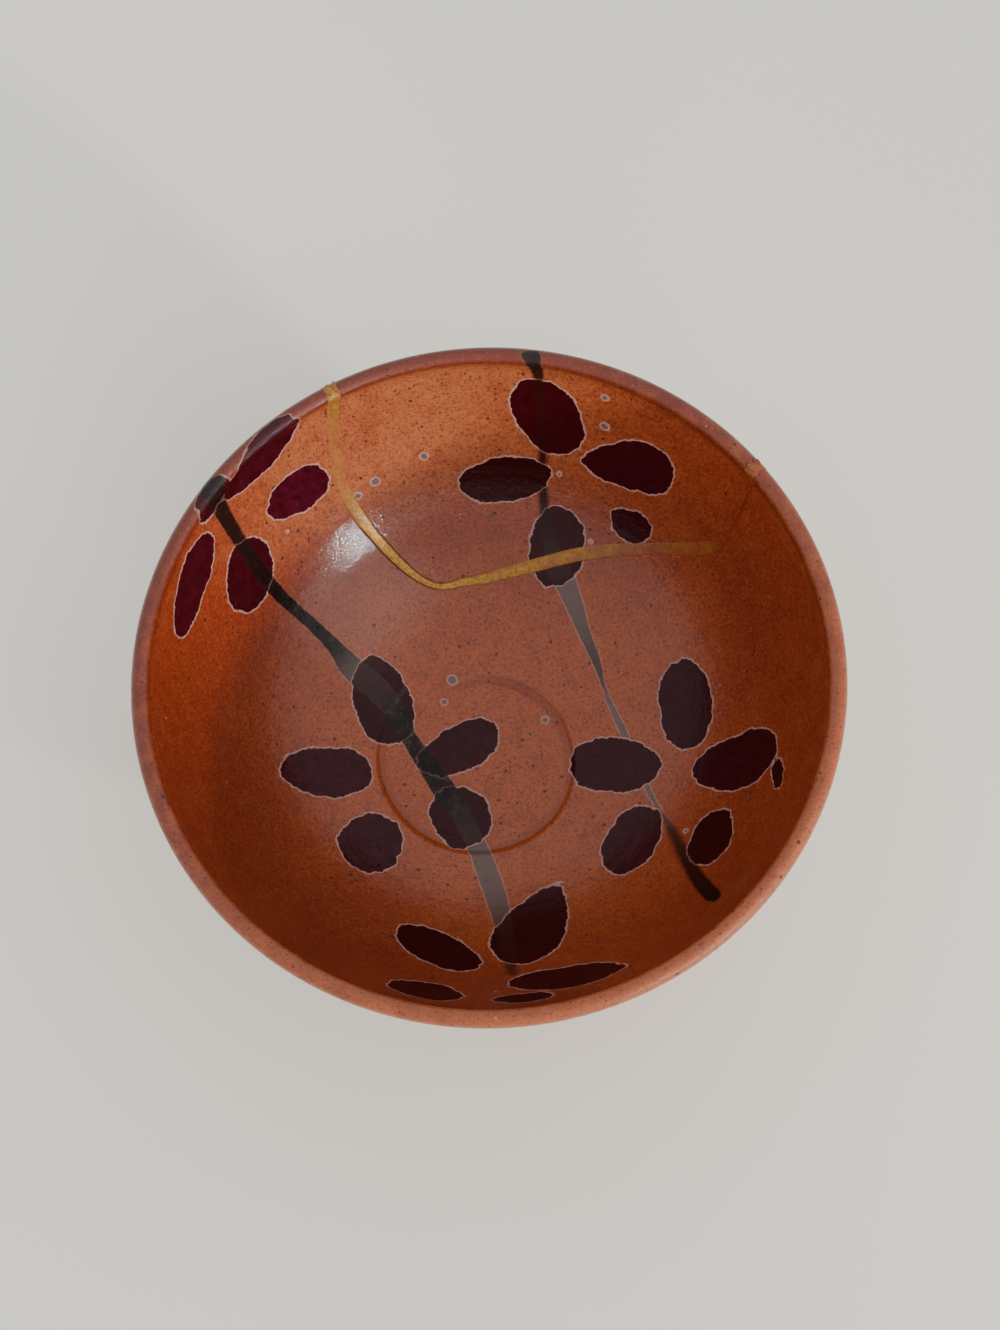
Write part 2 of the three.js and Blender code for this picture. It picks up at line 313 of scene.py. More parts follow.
painting = {
    "waveHeight": 0.36,  # of a leaf's wavy edge
    "waveCounts": (3, 5, 8, 13, 19),
    "wavePower": 0.45,  # how fast the quicker waves grow lower
    "ovalPower": 2.3,  # two is an ellipse, more is blunter
    "far": 30.0,  # greatest distance that is kept
    "slopeStep": 0.05,
    "seed": 7,
}


def wallAxes(reach, azimuth):
    # at a place on the inside wall: the point, the way round and the way up towards the lip
    point, normal = wallPoint(np.array([reach]), np.array([azimuth]), "inner")
    around = np.array([-np.sin(azimuth), np.cos(azimuth), 0.0])
    return point[0], around, np.cross(around, normal[0])


def leafForm(along, across, length, width, egg, point):
    # below zero inside the leaf: square of the offset over that of the half width, less the height of a full
    # oval; egg widens one end, and point draws an end out to a tip
    p = along / (length / 2)
    body = np.clip(1 - np.abs(p) ** painting["ovalPower"], 0, None)
    power = 1 + np.abs(point) * (1 + np.sign(point) * p)
    half = np.maximum(width / 2 * (1 + egg * p), 0.3)
    return (across / half) ** 2 - body**power + np.clip(p**2 - 1, 0, None)


def leafDistance(points):
    # distance to the nearest leaf's edge in mm, negative inside, and that leaf's tone: the leaf's form over
    # the steepness of that form, plus a sum of sine waves round the edge
    rng = np.random.default_rng(painting["seed"])
    counts = painting["waveCounts"]
    best = np.full(len(points), painting["far"])
    tone = np.zeros(len(points))
    for reach, azimuth, length, width, turn, egg, point, leafTone in leaves:
        centre, around, up = wallAxes(reach, np.radians(azimuth))
        spot = points - centre
        c, s = np.cos(np.radians(turn)), np.sin(np.radians(turn))
        along = spot @ (c * around + s * up)
        across = spot @ (c * up - s * around)
        phases = rng.uniform(0, 2 * np.pi, len(counts))
        near = np.linalg.norm(spot, axis=1) < length
        a, b = along[near], across[near]
        step = painting["slopeStep"]
        shape = (length, width, egg, point)
        form = leafForm(a, b, *shape)
        slopeA = (leafForm(a + step, b, *shape) - form) / step
        slopeB = (leafForm(a, b + step, *shape) - form) / step
        gap = form / np.maximum(np.hypot(slopeA, slopeB), 0.08)
        angle = np.arctan2(b * length / width, a)
        wave = sum(np.sin(k * angle + phase) / k ** painting["wavePower"] for k, phase in zip(counts, phases))
        gap = np.clip(gap + painting["waveHeight"] * wave, -6, 6)
        old = best[near]
        closer = gap < old
        best[near] = np.where(closer, gap, old)
        tone[near] = np.where(closer, leafTone, tone[near])
    return best, tone


def dropDistance(points):
    # distance to the nearest drop's edge in mm, negative inside
    best = np.full(len(points), painting["far"])
    for reach, azimuth, diameter in drops:
        centre, _, _ = wallAxes(reach, np.radians(azimuth))
        best = np.minimum(best, np.linalg.norm(points - centre, axis=1) - diameter / 2)
    return best


def stemDistance(points):
    # distance to the nearest stem's edge in mm, negative inside, with its greyness and darkness: the distance
    # to the stem's path less half the width there
    best = np.zeros((3, len(points)))
    best[0] = painting["far"]
    for stations in (leftStem, rightStem):
        line = stationLine(stations, 6)
        path, _ = wallPoint(*reachAndAzimuth(line), "inner")
        gap, place = distanceToLine(points, path)
        width, grey, dark = (np.interp(place, np.arange(len(line)), line[:, k]) for k in (2, 3, 4))
        gap = gap - width / 2
        best = np.where(gap < best[0], [gap, grey, dark], best)
    return best


def makeMesh(name, points, faces, flatFaces=0):
    # points in millimetres, faces as a list of arrays of corner numbers; the last flatFaces faces are flat
    mesh = bpy.data.meshes.new(name)
    corners = np.concatenate([f.ravel() for f in faces]).astype(np.int32)
    sizes = np.concatenate([np.full(len(f), f.shape[1]) for f in faces]).astype(np.int32)
    mesh.vertices.add(len(points))
    mesh.vertices.foreach_set("co", (np.asarray(points, np.float32) * mm).ravel())
    mesh.loops.add(len(corners))
    mesh.loops.foreach_set("vertex_index", corners)
    mesh.polygons.add(len(sizes))
    mesh.polygons.foreach_set("loop_start", np.concatenate([[0], np.cumsum(sizes)[:-1]]).astype(np.int32))
    mesh.update(calc_edges=True)
    smooth = np.ones(len(sizes), bool)
    if flatFaces:
        smooth[-flatFaces:] = False
    mesh.polygons.foreach_set("use_smooth", smooth)
    mesh.validate()
    obj = bpy.data.objects.new(name, mesh)
    bpy.context.scene.collection.objects.link(obj)
    return obj


def faceOutwards(obj, mergeDistance=0.0):
    # doubles are merged first where a distance is given, then all faces are turned outwards
    shell = bmesh.new()
    shell.from_mesh(obj.data)
    if mergeDistance:
        bmesh.ops.remove_doubles(shell, verts=shell.verts, dist=mergeDistance)
        bmesh.ops.dissolve_degenerate(shell, edges=shell.edges, dist=mergeDistance * 0.5)
    bmesh.ops.recalc_face_normals(shell, faces=shell.faces)
    shell.to_mesh(obj.data)
    shell.free()


def setAttribute(obj, name, values):
    # one number for each vertex, for the materials to read
    layer = obj.data.attributes.new(name, "FLOAT", "POINT")
    layer.data.foreach_set("value", np.asarray(values, np.float32))


def stripQuads(rows):
    # quads between neighbouring rows of vertex numbers; the last column joins the first
    beside = np.roll(rows, -1, axis=1)
    return np.stack([rows[:-1], beside[:-1], beside[1:], rows[1:]], -1)


def reachSteps():
    # reach of each ring of the inside: the way up the wall divided by the gap wanted there, added up and cut
    # into whole steps
    reach = curves["inner"]["reach"]
    starts, gaps = np.array(bowl["ringGaps"]).T
    spacing = gaps[np.searchsorted(starts, reach, side="right") - 1]
    count = np.concatenate([[0], np.cumsum(np.diff(curves["inner"]["length"]) / spacing[1:])])
    return np.interp(np.linspace(0, count[-1], int(count[-1]) + 1), count, reach)


def softCorners(points, times):
    # Chaikin corner cutting: each side is kept from its first quarter to its last; the ends stay
    p = np.array(points, float)
    for _ in range(times):
        a, b = p[:-1], p[1:]
        p = np.vstack([p[:1], np.stack([0.75 * a + 0.25 * b, 0.25 * a + 0.75 * b], 1).reshape(-1, 2), p[-1:]])
    return p


def spiralPlace(points):
    # offset from the spiral that a finger left round the well, in groove widths, and the spiral's strength:
    # the distance from the spiral's centre less the radius at that share of the turn
    x, y = (points[:, :2] - relief["grooveCentre"]).T
    share = np.mod(np.radians(relief["grooveStart"]) - np.arctan2(y, x), 2 * np.pi) / (2 * np.pi)
    radius = np.interp(share, relief["grooveTurns"], relief["grooveRadii"])
    strength = np.interp(share, relief["grooveTurns"], relief["grooveStrength"])
    return (np.hypot(x, y) - radius) / relief["grooveWidth"], strength


def insideRelief(points):
    # sine waves up the wall for the throwing rings, a bell curve for the spiral round the well with a low bank
    # on either side, and another for the fine line under the lip
    r, azimuth = reachAndAzimuth(points)
    phase = 2 * np.pi * climbAt(r) / relief["ringSpacing"] + azimuth
    height = relief["throwingRing"] * (np.sin(phase) + 0.5 * np.sin(1.7 * phase + 2 * np.sin(azimuth)))
    offset, strength = spiralPlace(points)
    bank, away = relief["bankHeight"], relief["bankOffset"]
    groove = -np.exp(-offset**2) + bank * np.exp(-(offset + away) ** 2) + bank * np.exp(-(offset - away) ** 2)
    underLip = (r - relief["lipGrooveReach"]) / relief["lipGrooveWidth"]
    lipLine = -relief["lipGroove"] * np.exp(-underLip ** 2)
    return height + relief["grooveDepth"] * strength * groove + lipLine


def outsideRelief(reach, azimuth):
    # a shallow spiral of throwing rings, two sine waves up the wall, fading out at the lip
    phase = 2 * np.pi * climbAt(reach, "outer") / (0.8 * relief["ringSpacing"]) + azimuth
    end, fade = relief["outerFade"]
    height = relief["outerRing"] * (np.sin(phase) + 0.4 * np.sin(2.3 * phase))
    return height * np.clip((end - reach) / fade, 0, 1)


def slideToBreak(reachGrid, azimuthGrid, border, side):
    # border vertices step down the slope of the distance, four times, until they lie on the break's edge
    def fromEdge(reach, azimuth):
        # distance to the broken face, positive inside this piece
        return side * breakDistance(reach, azimuth) - seam["gap"] / 2

    step = 0.05
    for _ in range(4):
        reach, azimuth = reachGrid[border], azimuthGrid[border]
        here = fromEdge(reach, azimuth)
        slopeReach = (fromEdge(reach + step, azimuth) - here) / step
        slopeAround = (fromEdge(reach, azimuth + step / reach) - here) / step
        steep = np.maximum(slopeReach**2 + slopeAround**2, 0.3)
        reachGrid[border] = np.clip(reach - here * slopeReach / steep, 30, bowl["topReach"])
        azimuthGrid[border] = azimuth - here * slopeAround / steep / reach


def brokenFaces(keep, number, top, footStart):
    # each inner edge of the border is joined to its twin on the outside: a quad, or a triangle where both
    # edges meet at the lip's top
    beside = np.roll(np.arange(number.shape[1]), -1)
    twin = np.full(len(number), -1)
    twin[footStart:top + 1] = 2 * top - np.arange(footStart, top + 1)
    i1, j1 = np.nonzero((keep[1:] != keep[:-1])[:top])
    i1 += 1
    i2, j2 = np.nonzero((keep != np.roll(keep, 1, 1))[:top])
    a = np.concatenate([number[i1, j1], number[i2, j2]])
    b = np.concatenate([number[i1, beside[j1]], number[i2 + 1, j2]])
    twinA = np.concatenate([number[twin[i1], j1], number[twin[i2], j2]])
    twinB = np.concatenate([number[twin[i1], beside[j1]], number[twin[i2 + 1], j2]])
    whole = (a != twinA) & (b != twinB)
    corner = (a != twinA) ^ (b != twinB)
    third = np.where(a == twinA, twinB, twinA)
    return np.stack([a, b, third], -1)[corner], np.stack([a, b, twinB, twinA], -1)[whole]


def makePottery(name, side):
    # one closed shell: rings of the inside, the lip and the outside on one side of the break, then the foot,
    # and the broken face from the inner edge of the break to the outer one
    around = bowl["aroundSteps"]
    azimuth = np.linspace(0, 2 * np.pi, around, endpoint=False)
    reach = reachSteps()
    top = len(reach) - 1
    footStart = int(np.searchsorted(reach, bowl["footTop"]))
    ringReach = np.concatenate([reach, reach[footStart:top][::-1]])
    isInner = np.arange(len(ringReach)) <= top
    reachGrid, azimuthGrid = np.meshgrid(ringReach, azimuth, indexing="ij")
    distance = side * breakDistance(reachGrid, azimuthGrid) - seam["gap"] / 2

    # a quad is kept if the middle of its corners is; a vertex is on the border if some quads round it are not
    beside = np.roll(np.arange(around), -1)
    middle = (distance[:-1] + distance[1:] + distance[:-1][:, beside] + distance[1:][:, beside]) / 4
    keep = middle > 0
    below = np.vstack([keep, keep[-1:]])
    above = np.vstack([keep[:1], keep])
    touched = np.stack([below, above, np.roll(below, 1, 1), np.roll(above, 1, 1)])
    slideToBreak(reachGrid, azimuthGrid, touched.any(0) & ~touched.all(0), side)
    reachGrid[top] = bowl["topReach"]

    inner, innerNormal = wallPoint(reachGrid, azimuthGrid, "inner")
    outer, outerNormal = wallPoint(reachGrid, azimuthGrid, "outer")
    outer = outer + outerNormal * outsideRelief(reachGrid, azimuthGrid)[..., None]
    lift = insideRelief(inner.reshape(-1, 3)).reshape(inner.shape[:2])
    lift *= np.clip((bowl["insideRadius"] - reachGrid) / 0.3, 0, 1)
    inner = inner + innerNormal * lift[..., None]
    grid = np.where(isInner[:, None, None], inner, outer)

    number = np.arange(grid.shape[0] * around).reshape(-1, around)
    points = [grid.reshape(-1, 3)]
    faces = [stripQuads(number)[1:][keep[1:]]]
    reachAll, azimuthAll = [reachGrid.ravel()], [azimuthGrid.ravel()]
    zone = [np.repeat(np.where(isInner, 0.0, 1.0), around)]  # 0 inside, 1 outside, 2 foot
    if side > 0:
        # the centre of the floor, and the foot down to the middle of its hollow
        foot = softCorners(footProfile, 2)
        rings = foot[:-1]
        pole = len(points[0])
        points.append(grid[0, :1])
        faces.append(np.stack([np.full(around, pole), beside + around, np.arange(around) + around], -1))
        r, z = rings[:, :1], np.repeat(rings[:, 1:], around, 1)
        footGrid = np.stack([r * np.cos(azimuth), r * np.sin(azimuth), z], -1)
        footNumber = pole + 1 + np.arange(len(rings) * around).reshape(-1, around)
        faces.append(stripQuads(np.vstack([number[-1:], footNumber])).reshape(-1, 4))
        lowPole = pole + 1 + footNumber.size
        points += [footGrid.reshape(-1, 3), np.array([[0.0, 0.0, foot[-1, 1]]])]
        faces.append(np.stack([np.full(around, lowPole), footNumber[-1], footNumber[-1][beside]], -1))
        reachAll += [[0.0], np.full(footNumber.size, 20.0), [0.0]]
        azimuthAll += [[0.0], np.tile(azimuth, len(rings)), [0.0]]
        zone += [[0.0], np.full(footNumber.size, 2.0), [2.0]]
    corners, broken = brokenFaces(keep, number, top, footStart)
    faces += [corners, broken]

    points = np.vstack(points)
    used = np.unique(np.concatenate([f.ravel() for f in faces]))
    renumber = np.zeros(len(points), int)
    renumber[used] = np.arange(len(used))
    obj = makeMesh(name, points[used], [renumber[f] for f in faces], len(corners) + len(broken))
    faceOutwards(obj)
    paintPottery(obj, *(np.concatenate([np.ravel(x) for x in values])[used]
                        for values in (reachAll, azimuthAll, zone)))
    print(name, "made:", len(obj.data.vertices), "vertices,", len(obj.data.polygons), "faces")
    return obj


glaze = {
    # the ground
    "wall": (0.205, 0.023, 0.0035, 1), "wallDeep": (0.1, 0.009, 0.0018, 1),
    # tan is painted light for the lit side of the wall
    "floor": (0.335, 0.062, 0.011, 1), "ochre": (0.36, 0.11, 0.028, 1), "tan": (0.38, 0.132, 0.052, 1),
    # the groove colour is glaze pooled in the spiral groove and painted shade there
    "pooledAndShade": (0.19, 0.026, 0.004, 1), "clay": (0.42, 0.25, 0.15, 1), "clayDark": (0.3, 0.16, 0.09, 1),
    "speckDark": (0.028, 0.006, 0.003, 1), "speckBrown": (0.06, 0.012, 0.004, 1),
    "speckPale": (0.5, 0.26, 0.16, 1),
    # the lip's pale colour shows most on the side facing the lamps, as painted light; its dark line is partly
    # painted shade
    "lipLine": (0.045, 0.007, 0.003, 1), "lipPaleAndLit": (0.31, 0.072, 0.017, 1),
    "lipRust": (0.12, 0.014, 0.005, 1),
    # the painting
    "plum": (0.024, 0.0004, 0.001, 1), "purple": (0.064, 0.0022, 0.0125, 1), "outline": (0.36, 0.19, 0.16, 1),
    "stemGrey": (0.1, 0.075, 0.065, 1), "stemBrown": (0.045, 0.006, 0.0015, 1),
    "stemBlack": (0.0025, 0.0016, 0.0016, 1), "dropGrey": (0.085, 0.07, 0.07, 1),
    # noises: scale, detail, roughness
    "noise": {"clouds": (26, 4, 0.6), "mottle": (210, 4, 0.65), "grain": (1250, 3, 0.7), "peel": (420, 3, 0.6),
              "streak": (380, 4, 0.7), "ragged": (560, 3, 0.7), "patches": (330, 3, 0.65)},
    # specks: cells to a metre, largest radius in metres, share of the cells that hold one
    "fineSpecks": (800, 0.0004, 0.6), "coarseSpecks": (400, 0.0006, 0.42),
    "blots": (150, 0.00075, 0.12), "paleSpecks": (230, 0.0005, 0.18),
    "leafRagged": 1.7, "dropRagged": 0.5, "stemRagged": 0.9,  # how far the noise moves an edge, in mm
    # painted light on the lit side of the wall and painted shade on the shaded side: azimuth, power of the
    # cosine, reach where it starts, how fast it rises
    "paintedLight": (112, 2.2, 58, 18), "paintedShade": (212, 1, 40, 25),
    # the lip is paler towards the lamps, painted light that is least at this azimuth
    "lipUnlitSide": 115,  # azimuth where the lip is least pale
    "endLevel": 13.5,  # the foot is bare below it
    "bump": (0.7, 0.00011),  # strength, distance
    "ior": 1.5, "coatIor": 1.42, "coatRoughness": 0.07,
}


def paintedLightAndShade(reach, azimuth):
    # painted light on the lit side of the wall, below zero where shade is painted on the shaded side: a power
    # of the cosine round one side of the bowl less that round another side, both rising up the wall
    def onSide(middle, power, start, rise):
        share = np.clip(np.cos(azimuth - np.radians(middle)), 0, 1) ** power
        return share * np.clip((reach - start) / rise, 0, 1)

    return onSide(*glaze["paintedLight"]) - onSide(*glaze["paintedShade"])


def paintPottery(obj, reach, azimuth, zone):
    # what the glaze material reads, distances in millimetres; outside they grow with the way down from the
    # lip, so that only marks that reach the lip go over it
    far = painting["far"]
    spots, _ = wallPoint(reach, azimuth, "inner")
    away = np.where(zone == 0, 0.0, np.where(zone == 1, 2.4 * (bowl["topReach"] - reach), far))
    leaf, tone = leafDistance(spots)
    stem, grey, dark = stemDistance(spots)
    offset, strength = spiralPlace(spots)
    climb = climbAt(reach)
    lipStart = climbAt(np.where(zone == 0, bowl["lipColourIn"], bowl["lipColourOut"]))
    co = np.empty(len(reach) * 3, np.float32)
    obj.data.vertices.foreach_get("co", co)
    lowDown = np.clip((glaze["endLevel"] - co.reshape(-1, 3)[:, 2] / mm) / 1.5, 0, 1)
    for name, values in {
        "leafEdge": np.minimum(np.maximum(leaf, -2.5) + 2 * away, far), "leafTone": tone,
        "dropEdge": np.minimum(dropDistance(spots) + away, far),
        "stemEdge": np.minimum(stem + away, far), "stemGrey": grey, "stemDark": dark,
        "climb": climb, "lipEdge": np.where(zone < 2, climb - lipStart, -far),
        # the lip paler towards the lamps: painted light
        "lipPaleAndLit": 0.5 - 0.5 * np.cos(azimuth - np.radians(glaze["lipUnlitSide"])),
        # darker in the spiral groove: glaze pooled there and painted shade of the groove
        "pooledAndShade": np.where(zone == 0, strength * np.exp(-(offset**2)), 0),
        # painted light on the lit side of the wall, below zero where shade is painted on the shaded side
        "paintedLight": np.where(zone == 0, paintedLightAndShade(reach, azimuth), 0),
        "bareClay": np.where(zone == 2, 1.0, np.where(zone == 1, lowDown, 0)),
    }.items():
        setAttribute(obj, name, values)


def acrossLine(points, normals, sign):
    # unit vectors across the line and along the surface: the line's direction crossed with the normal
    across = sign * np.cross(np.gradient(points, axis=0), normals)
    return across / np.linalg.norm(across, axis=1, keepdims=True)


def makeSeam():
    # a strip of gold through the wall with a low rounded line on each face; over the lip both lines meet. The
    # line's height is a power of one less the square of the offset, lower and flatter where it is worn
    reach, azimuth = reachAndAzimuth(breakLine)
    reach = np.minimum(reach, bowl["topReach"])
    below = reach < bowl["topReach"]
    first = int(np.argmax(below)) - 1
    last = len(reach) - int(np.argmax(below[::-1]))
    line = np.array([reach, azimuth, *breakLine[:, 2:].T])[:, first:last + 1]
    # extra stations where the line goes over the lip
    place = np.arange(line.shape[1], dtype=float)
    span, count = seam["lipStations"]
    ends = [np.linspace(0, span, count), np.linspace(place[-1] - span, place[-1], count)]
    fine = np.unique(np.concatenate([place] + ends))
    reach, azimuth, width, wear = (np.interp(fine, place, x) for x in line)
    rng = np.random.default_rng(painting["seed"])
    wave = np.convolve(rng.normal(0, 1, len(reach) + 8), np.ones(9) / 9, "valid")
    width = width * (1 + seam["wobble"] * wave)
    inner, innerNormal = wallPoint(reach, azimuth, "inner")
    outer, outerNormal = wallPoint(reach, azimuth, "outer")
    innerAcross = acrossLine(inner, innerNormal, 1)
    outerAcross = acrossLine(outer, outerNormal, -1)
    for end, near in ((0, 1), (-1, -2)):
        innerAcross[end] = outerAcross[end] = innerAcross[near]
    steps = seam["acrossSteps"]
    side = np.linspace(-1, 1, steps)
    roundness, squared = seam["crownPower"]
    crown = np.clip(1 - side**2, 0, 1) ** (roundness - squared * np.clip(wear, 0, 1)[:, None])
    proud = seam["proud"] * np.clip(1 - seam["flattened"] * wear[:, None], 0.05, 1)
    proud = proud * (0.55 + 0.45 * width[:, None] / seam["fullWidth"])
    height = crown * (proud + seam["sunk"]) - seam["sunk"]

    def face(points, normals, across):
        # the line's points from one edge to the other, then the two roots of the web below it
        line = points[:, None] + across[:, None] * (side[None, :, None] * width[:, None, None] / 2)
        line = line + normals[:, None] * height[..., None]
        roots = [points - normals * seam["rootDepth"] + across * s * seam["web"] / 2 for s in (1, -1)]
        return [line[:, k] for k in range(steps)], roots

    innerLine, innerRoots = face(inner, innerNormal, innerAcross)
    outerLine, outerRoots = face(outer, outerNormal, outerAcross)
    # round the section: inner line, down one side of the web, outer line, back up the other side
    ring = innerLine + [innerRoots[0], outerRoots[0]] + outerLine[::-1] + [outerRoots[1], innerRoots[1]]
    grid = np.stack(ring, 1)
    stations, count = grid.shape[:2]
    rows = np.arange(stations * count).reshape(stations, count)
    obj = makeMesh("goldSeam", grid.reshape(-1, 3), [stripQuads(rows).reshape(-1, 4)])
    # the seam's glaze gets the same painted light and shade as the bowl's
    for name, values in (("wear", wear), ("climb", climbAt(reach)), ("paintedLight", paintedLightAndShade(reach, azimuth))):
        setAttribute(obj, name, np.repeat(values, count))
    setAttribute(obj, "rim", np.tile(np.concatenate([np.abs(side), [1, 1], np.abs(side), [1, 1]]), stations))
    faceOutwards(obj, 0.02 * mm)
    print("goldSeam made:", stations, "stations,", len(obj.data.polygons), "faces")
    return obj


class Nodes:
    # short ways to add nodes to a new material; a value is a number, a tuple or another node's output
    def __init__(self, name):
        self.material = bpy.data.materials.new(name)
        self.material.use_nodes = True
        self.tree = self.material.node_tree
        self.tree.nodes.clear()

    def add(self, kind, inputs=None, output=0, **settings):
        node = self.tree.nodes.new("ShaderNode" + kind)
        for key, value in settings.items():
            setattr(node, key, value)
        for key, value in (inputs or {}).items():
            if isinstance(value, bpy.types.NodeSocket):
                self.tree.links.new(value, node.inputs[key])
            else:
                node.inputs[key].default_value = value
        return node if output is None else node.outputs[output]

    def math(self, operation, a, b, clamp=False):
        return self.add("Math", {0: a, 1: b}, operation=operation, use_clamp=clamp)

    def times(self, a, b):
        return self.math("MULTIPLY", a, b)

    def plus(self, a, b):
        return self.math("ADD", a, b)

    def minus(self, a, b, clamp=False):
        return self.math("SUBTRACT", a, b, clamp)

    def attribute(self, name):
        return self.add("Attribute", output="Fac", attribute_name=name)

    def ramp(self, value, low, high, outLow=0.0, outHigh=1.0):
        # low to high becomes outLow to outHigh, held at both ends
        return self.add("MapRange", {
            "Value": value, "From Min": low, "From Max": high, "To Min": outLow, "To Max": outHigh})

    def mix(self, share, a, b):
        return self.add("Mix", {0: share, 6: a, 7: b}, output=2, data_type="RGBA")

    def noise(self, place, kind):
        scale, detail, rough = glaze["noise"][kind]
        return self.add("TexNoise", {
            "Vector": place, "Scale": scale, "Detail": detail, "Roughness": rough}, output="Fac")

    def bump(self, height):
        strength, distance = glaze["bump"]
        return self.add("Bump", {"Strength": strength, "Distance": distance, "Height": height})

    def finish(self, inputs):
        shader = self.add("BsdfPrincipled", inputs)
        self.add("OutputMaterial", {"Surface": shader}, output=None)
        return self.material


def specks(n, place, scale, largest, chance):
    # round spots, one to a cell at most: a share of the cells holds one, its size drawn at random
    spot = n.add("TexVoronoi", {"Vector": place, "Scale": scale})
    drawn = n.add("SeparateColor", {0: spot.node.outputs["Color"]})
    size = n.ramp(drawn, 1 - chance, 1, -0.1, largest * scale)
    return n.ramp(n.minus(size, spot), -0.01, 0.05)


def bodyColour(n, place):
    # paler over the floor, deeper up the wall, tan painted light on the lit side, painted shade opposite, with
    # a dense fine mottle
    clouds, mottle, grain = (n.noise(place, kind) for kind in ("clouds", "mottle", "grain"))
    paintedLight = n.attribute("paintedLight")
    rise = n.plus(n.attribute("climb"), n.ramp(clouds, 0.3, 0.7, -14, 14))
    colour = n.mix(n.ramp(rise, 38, 82), glaze["floor"], glaze["wall"])
    tan = n.times(n.math("MAXIMUM", paintedLight, 0), n.ramp(clouds, 0.25, 0.6, 0.3, 0.65))
    colour = n.mix(tan, colour, glaze["tan"])
    # mottle and grain deepen or yellow the glaze at random; the last pair is painted shade on the shaded side
    for value, low, high, most, tint in (
            (mottle, 0.5, 0.3, 0.35, "wallDeep"), (mottle, 0.52, 0.75, 0.2, "ochre"),
            (grain, 0.52, 0.3, 0.8, "wallDeep"), (paintedLight, 0, -1, 0.45, "wallDeep")):
        colour = n.mix(n.ramp(value, low, high, 0, most), colour, glaze[tint])
    # the ochre flecks show more on the lit side: painted light
    flecks = n.times(n.ramp(grain, 0.52, 0.68), n.ramp(paintedLight, 0, 0.6, 0.26, 0.5))
    return n.mix(flecks, colour, glaze["ochre"]), mottle, grain


def colourLip(n, colour, mottle, grain):
    # the lip: paler on the side facing the lamps, which is painted light, and rust on the other, mottled, with
    # a dark ragged line along its inner edge that is partly painted shade under the lip
    ragged = n.plus(n.times(mottle, 1.4), n.times(grain, 1.2))
    edge = n.plus(n.attribute("lipEdge"), n.minus(ragged, 1.3))
    lip = n.ramp(edge, 0, 0.3)
    pale = n.attribute("lipPaleAndLit")
    paleness = n.plus(pale, n.times(n.minus(mottle, 0.5), 1.2))
    lipColour = n.mix(n.ramp(paleness, 0.15, 1), glaze["lipRust"], glaze["lipPaleAndLit"])
    lipColour = n.mix(n.ramp(grain, 0.5, 0.3, 0, 0.7), lipColour, glaze["lipRust"])
    lipColour = n.mix(n.ramp(grain, 0.55, 0.7, 0, 0.35), lipColour, glaze["lipPaleAndLit"])
    colour = n.mix(n.times(lip, 0.92), colour, lipColour)
    # the dark line is partly glaze gathered under the lip and partly painted shade under its overhang, wider
    # and darker towards the lamps
    width = n.ramp(pale, 0, 0.45, 1.6, 3.2)
    line = n.times(n.ramp(n.plus(edge, width), 0, 0.6), n.ramp(edge, 0.15, -0.1))
    darkness = n.ramp(pale, 0.05, 0.4, 0.35, 0.7)
    return n.mix(n.times(line, darkness), colour, glaze["lipLine"]), lip


def addSpecks(n, place, colour):
    # iron specks in three sizes and a few pale pinholes, with the pits that they leave
    fine, coarse, blots, pale = (specks(n, place, *glaze[kind])
                                 for kind in ("fineSpecks", "coarseSpecks", "blots", "paleSpecks"))
    for spot, cover, tint in ((fine, 0.7, "speckDark"), (coarse, 0.85, "speckDark"),
                              (blots, 0.75, "speckBrown"), (pale, 0.6, "speckPale")):
        colour = n.mix(n.times(spot, cover), colour, glaze[tint])
    pits = n.plus(n.times(coarse, -1.2), n.times(pale, -1.6))
    return colour, n.plus(pits, n.times(blots, -1.6))


def fillAndLine(n, distance, border, soft=0.1):
    # one inside the border, and one between the border and the outline's outer edge
    line = n.times(n.ramp(distance, 0.3, 0.3 - soft), n.ramp(distance, border - soft, border))
    return n.ramp(distance, border, border - soft), line


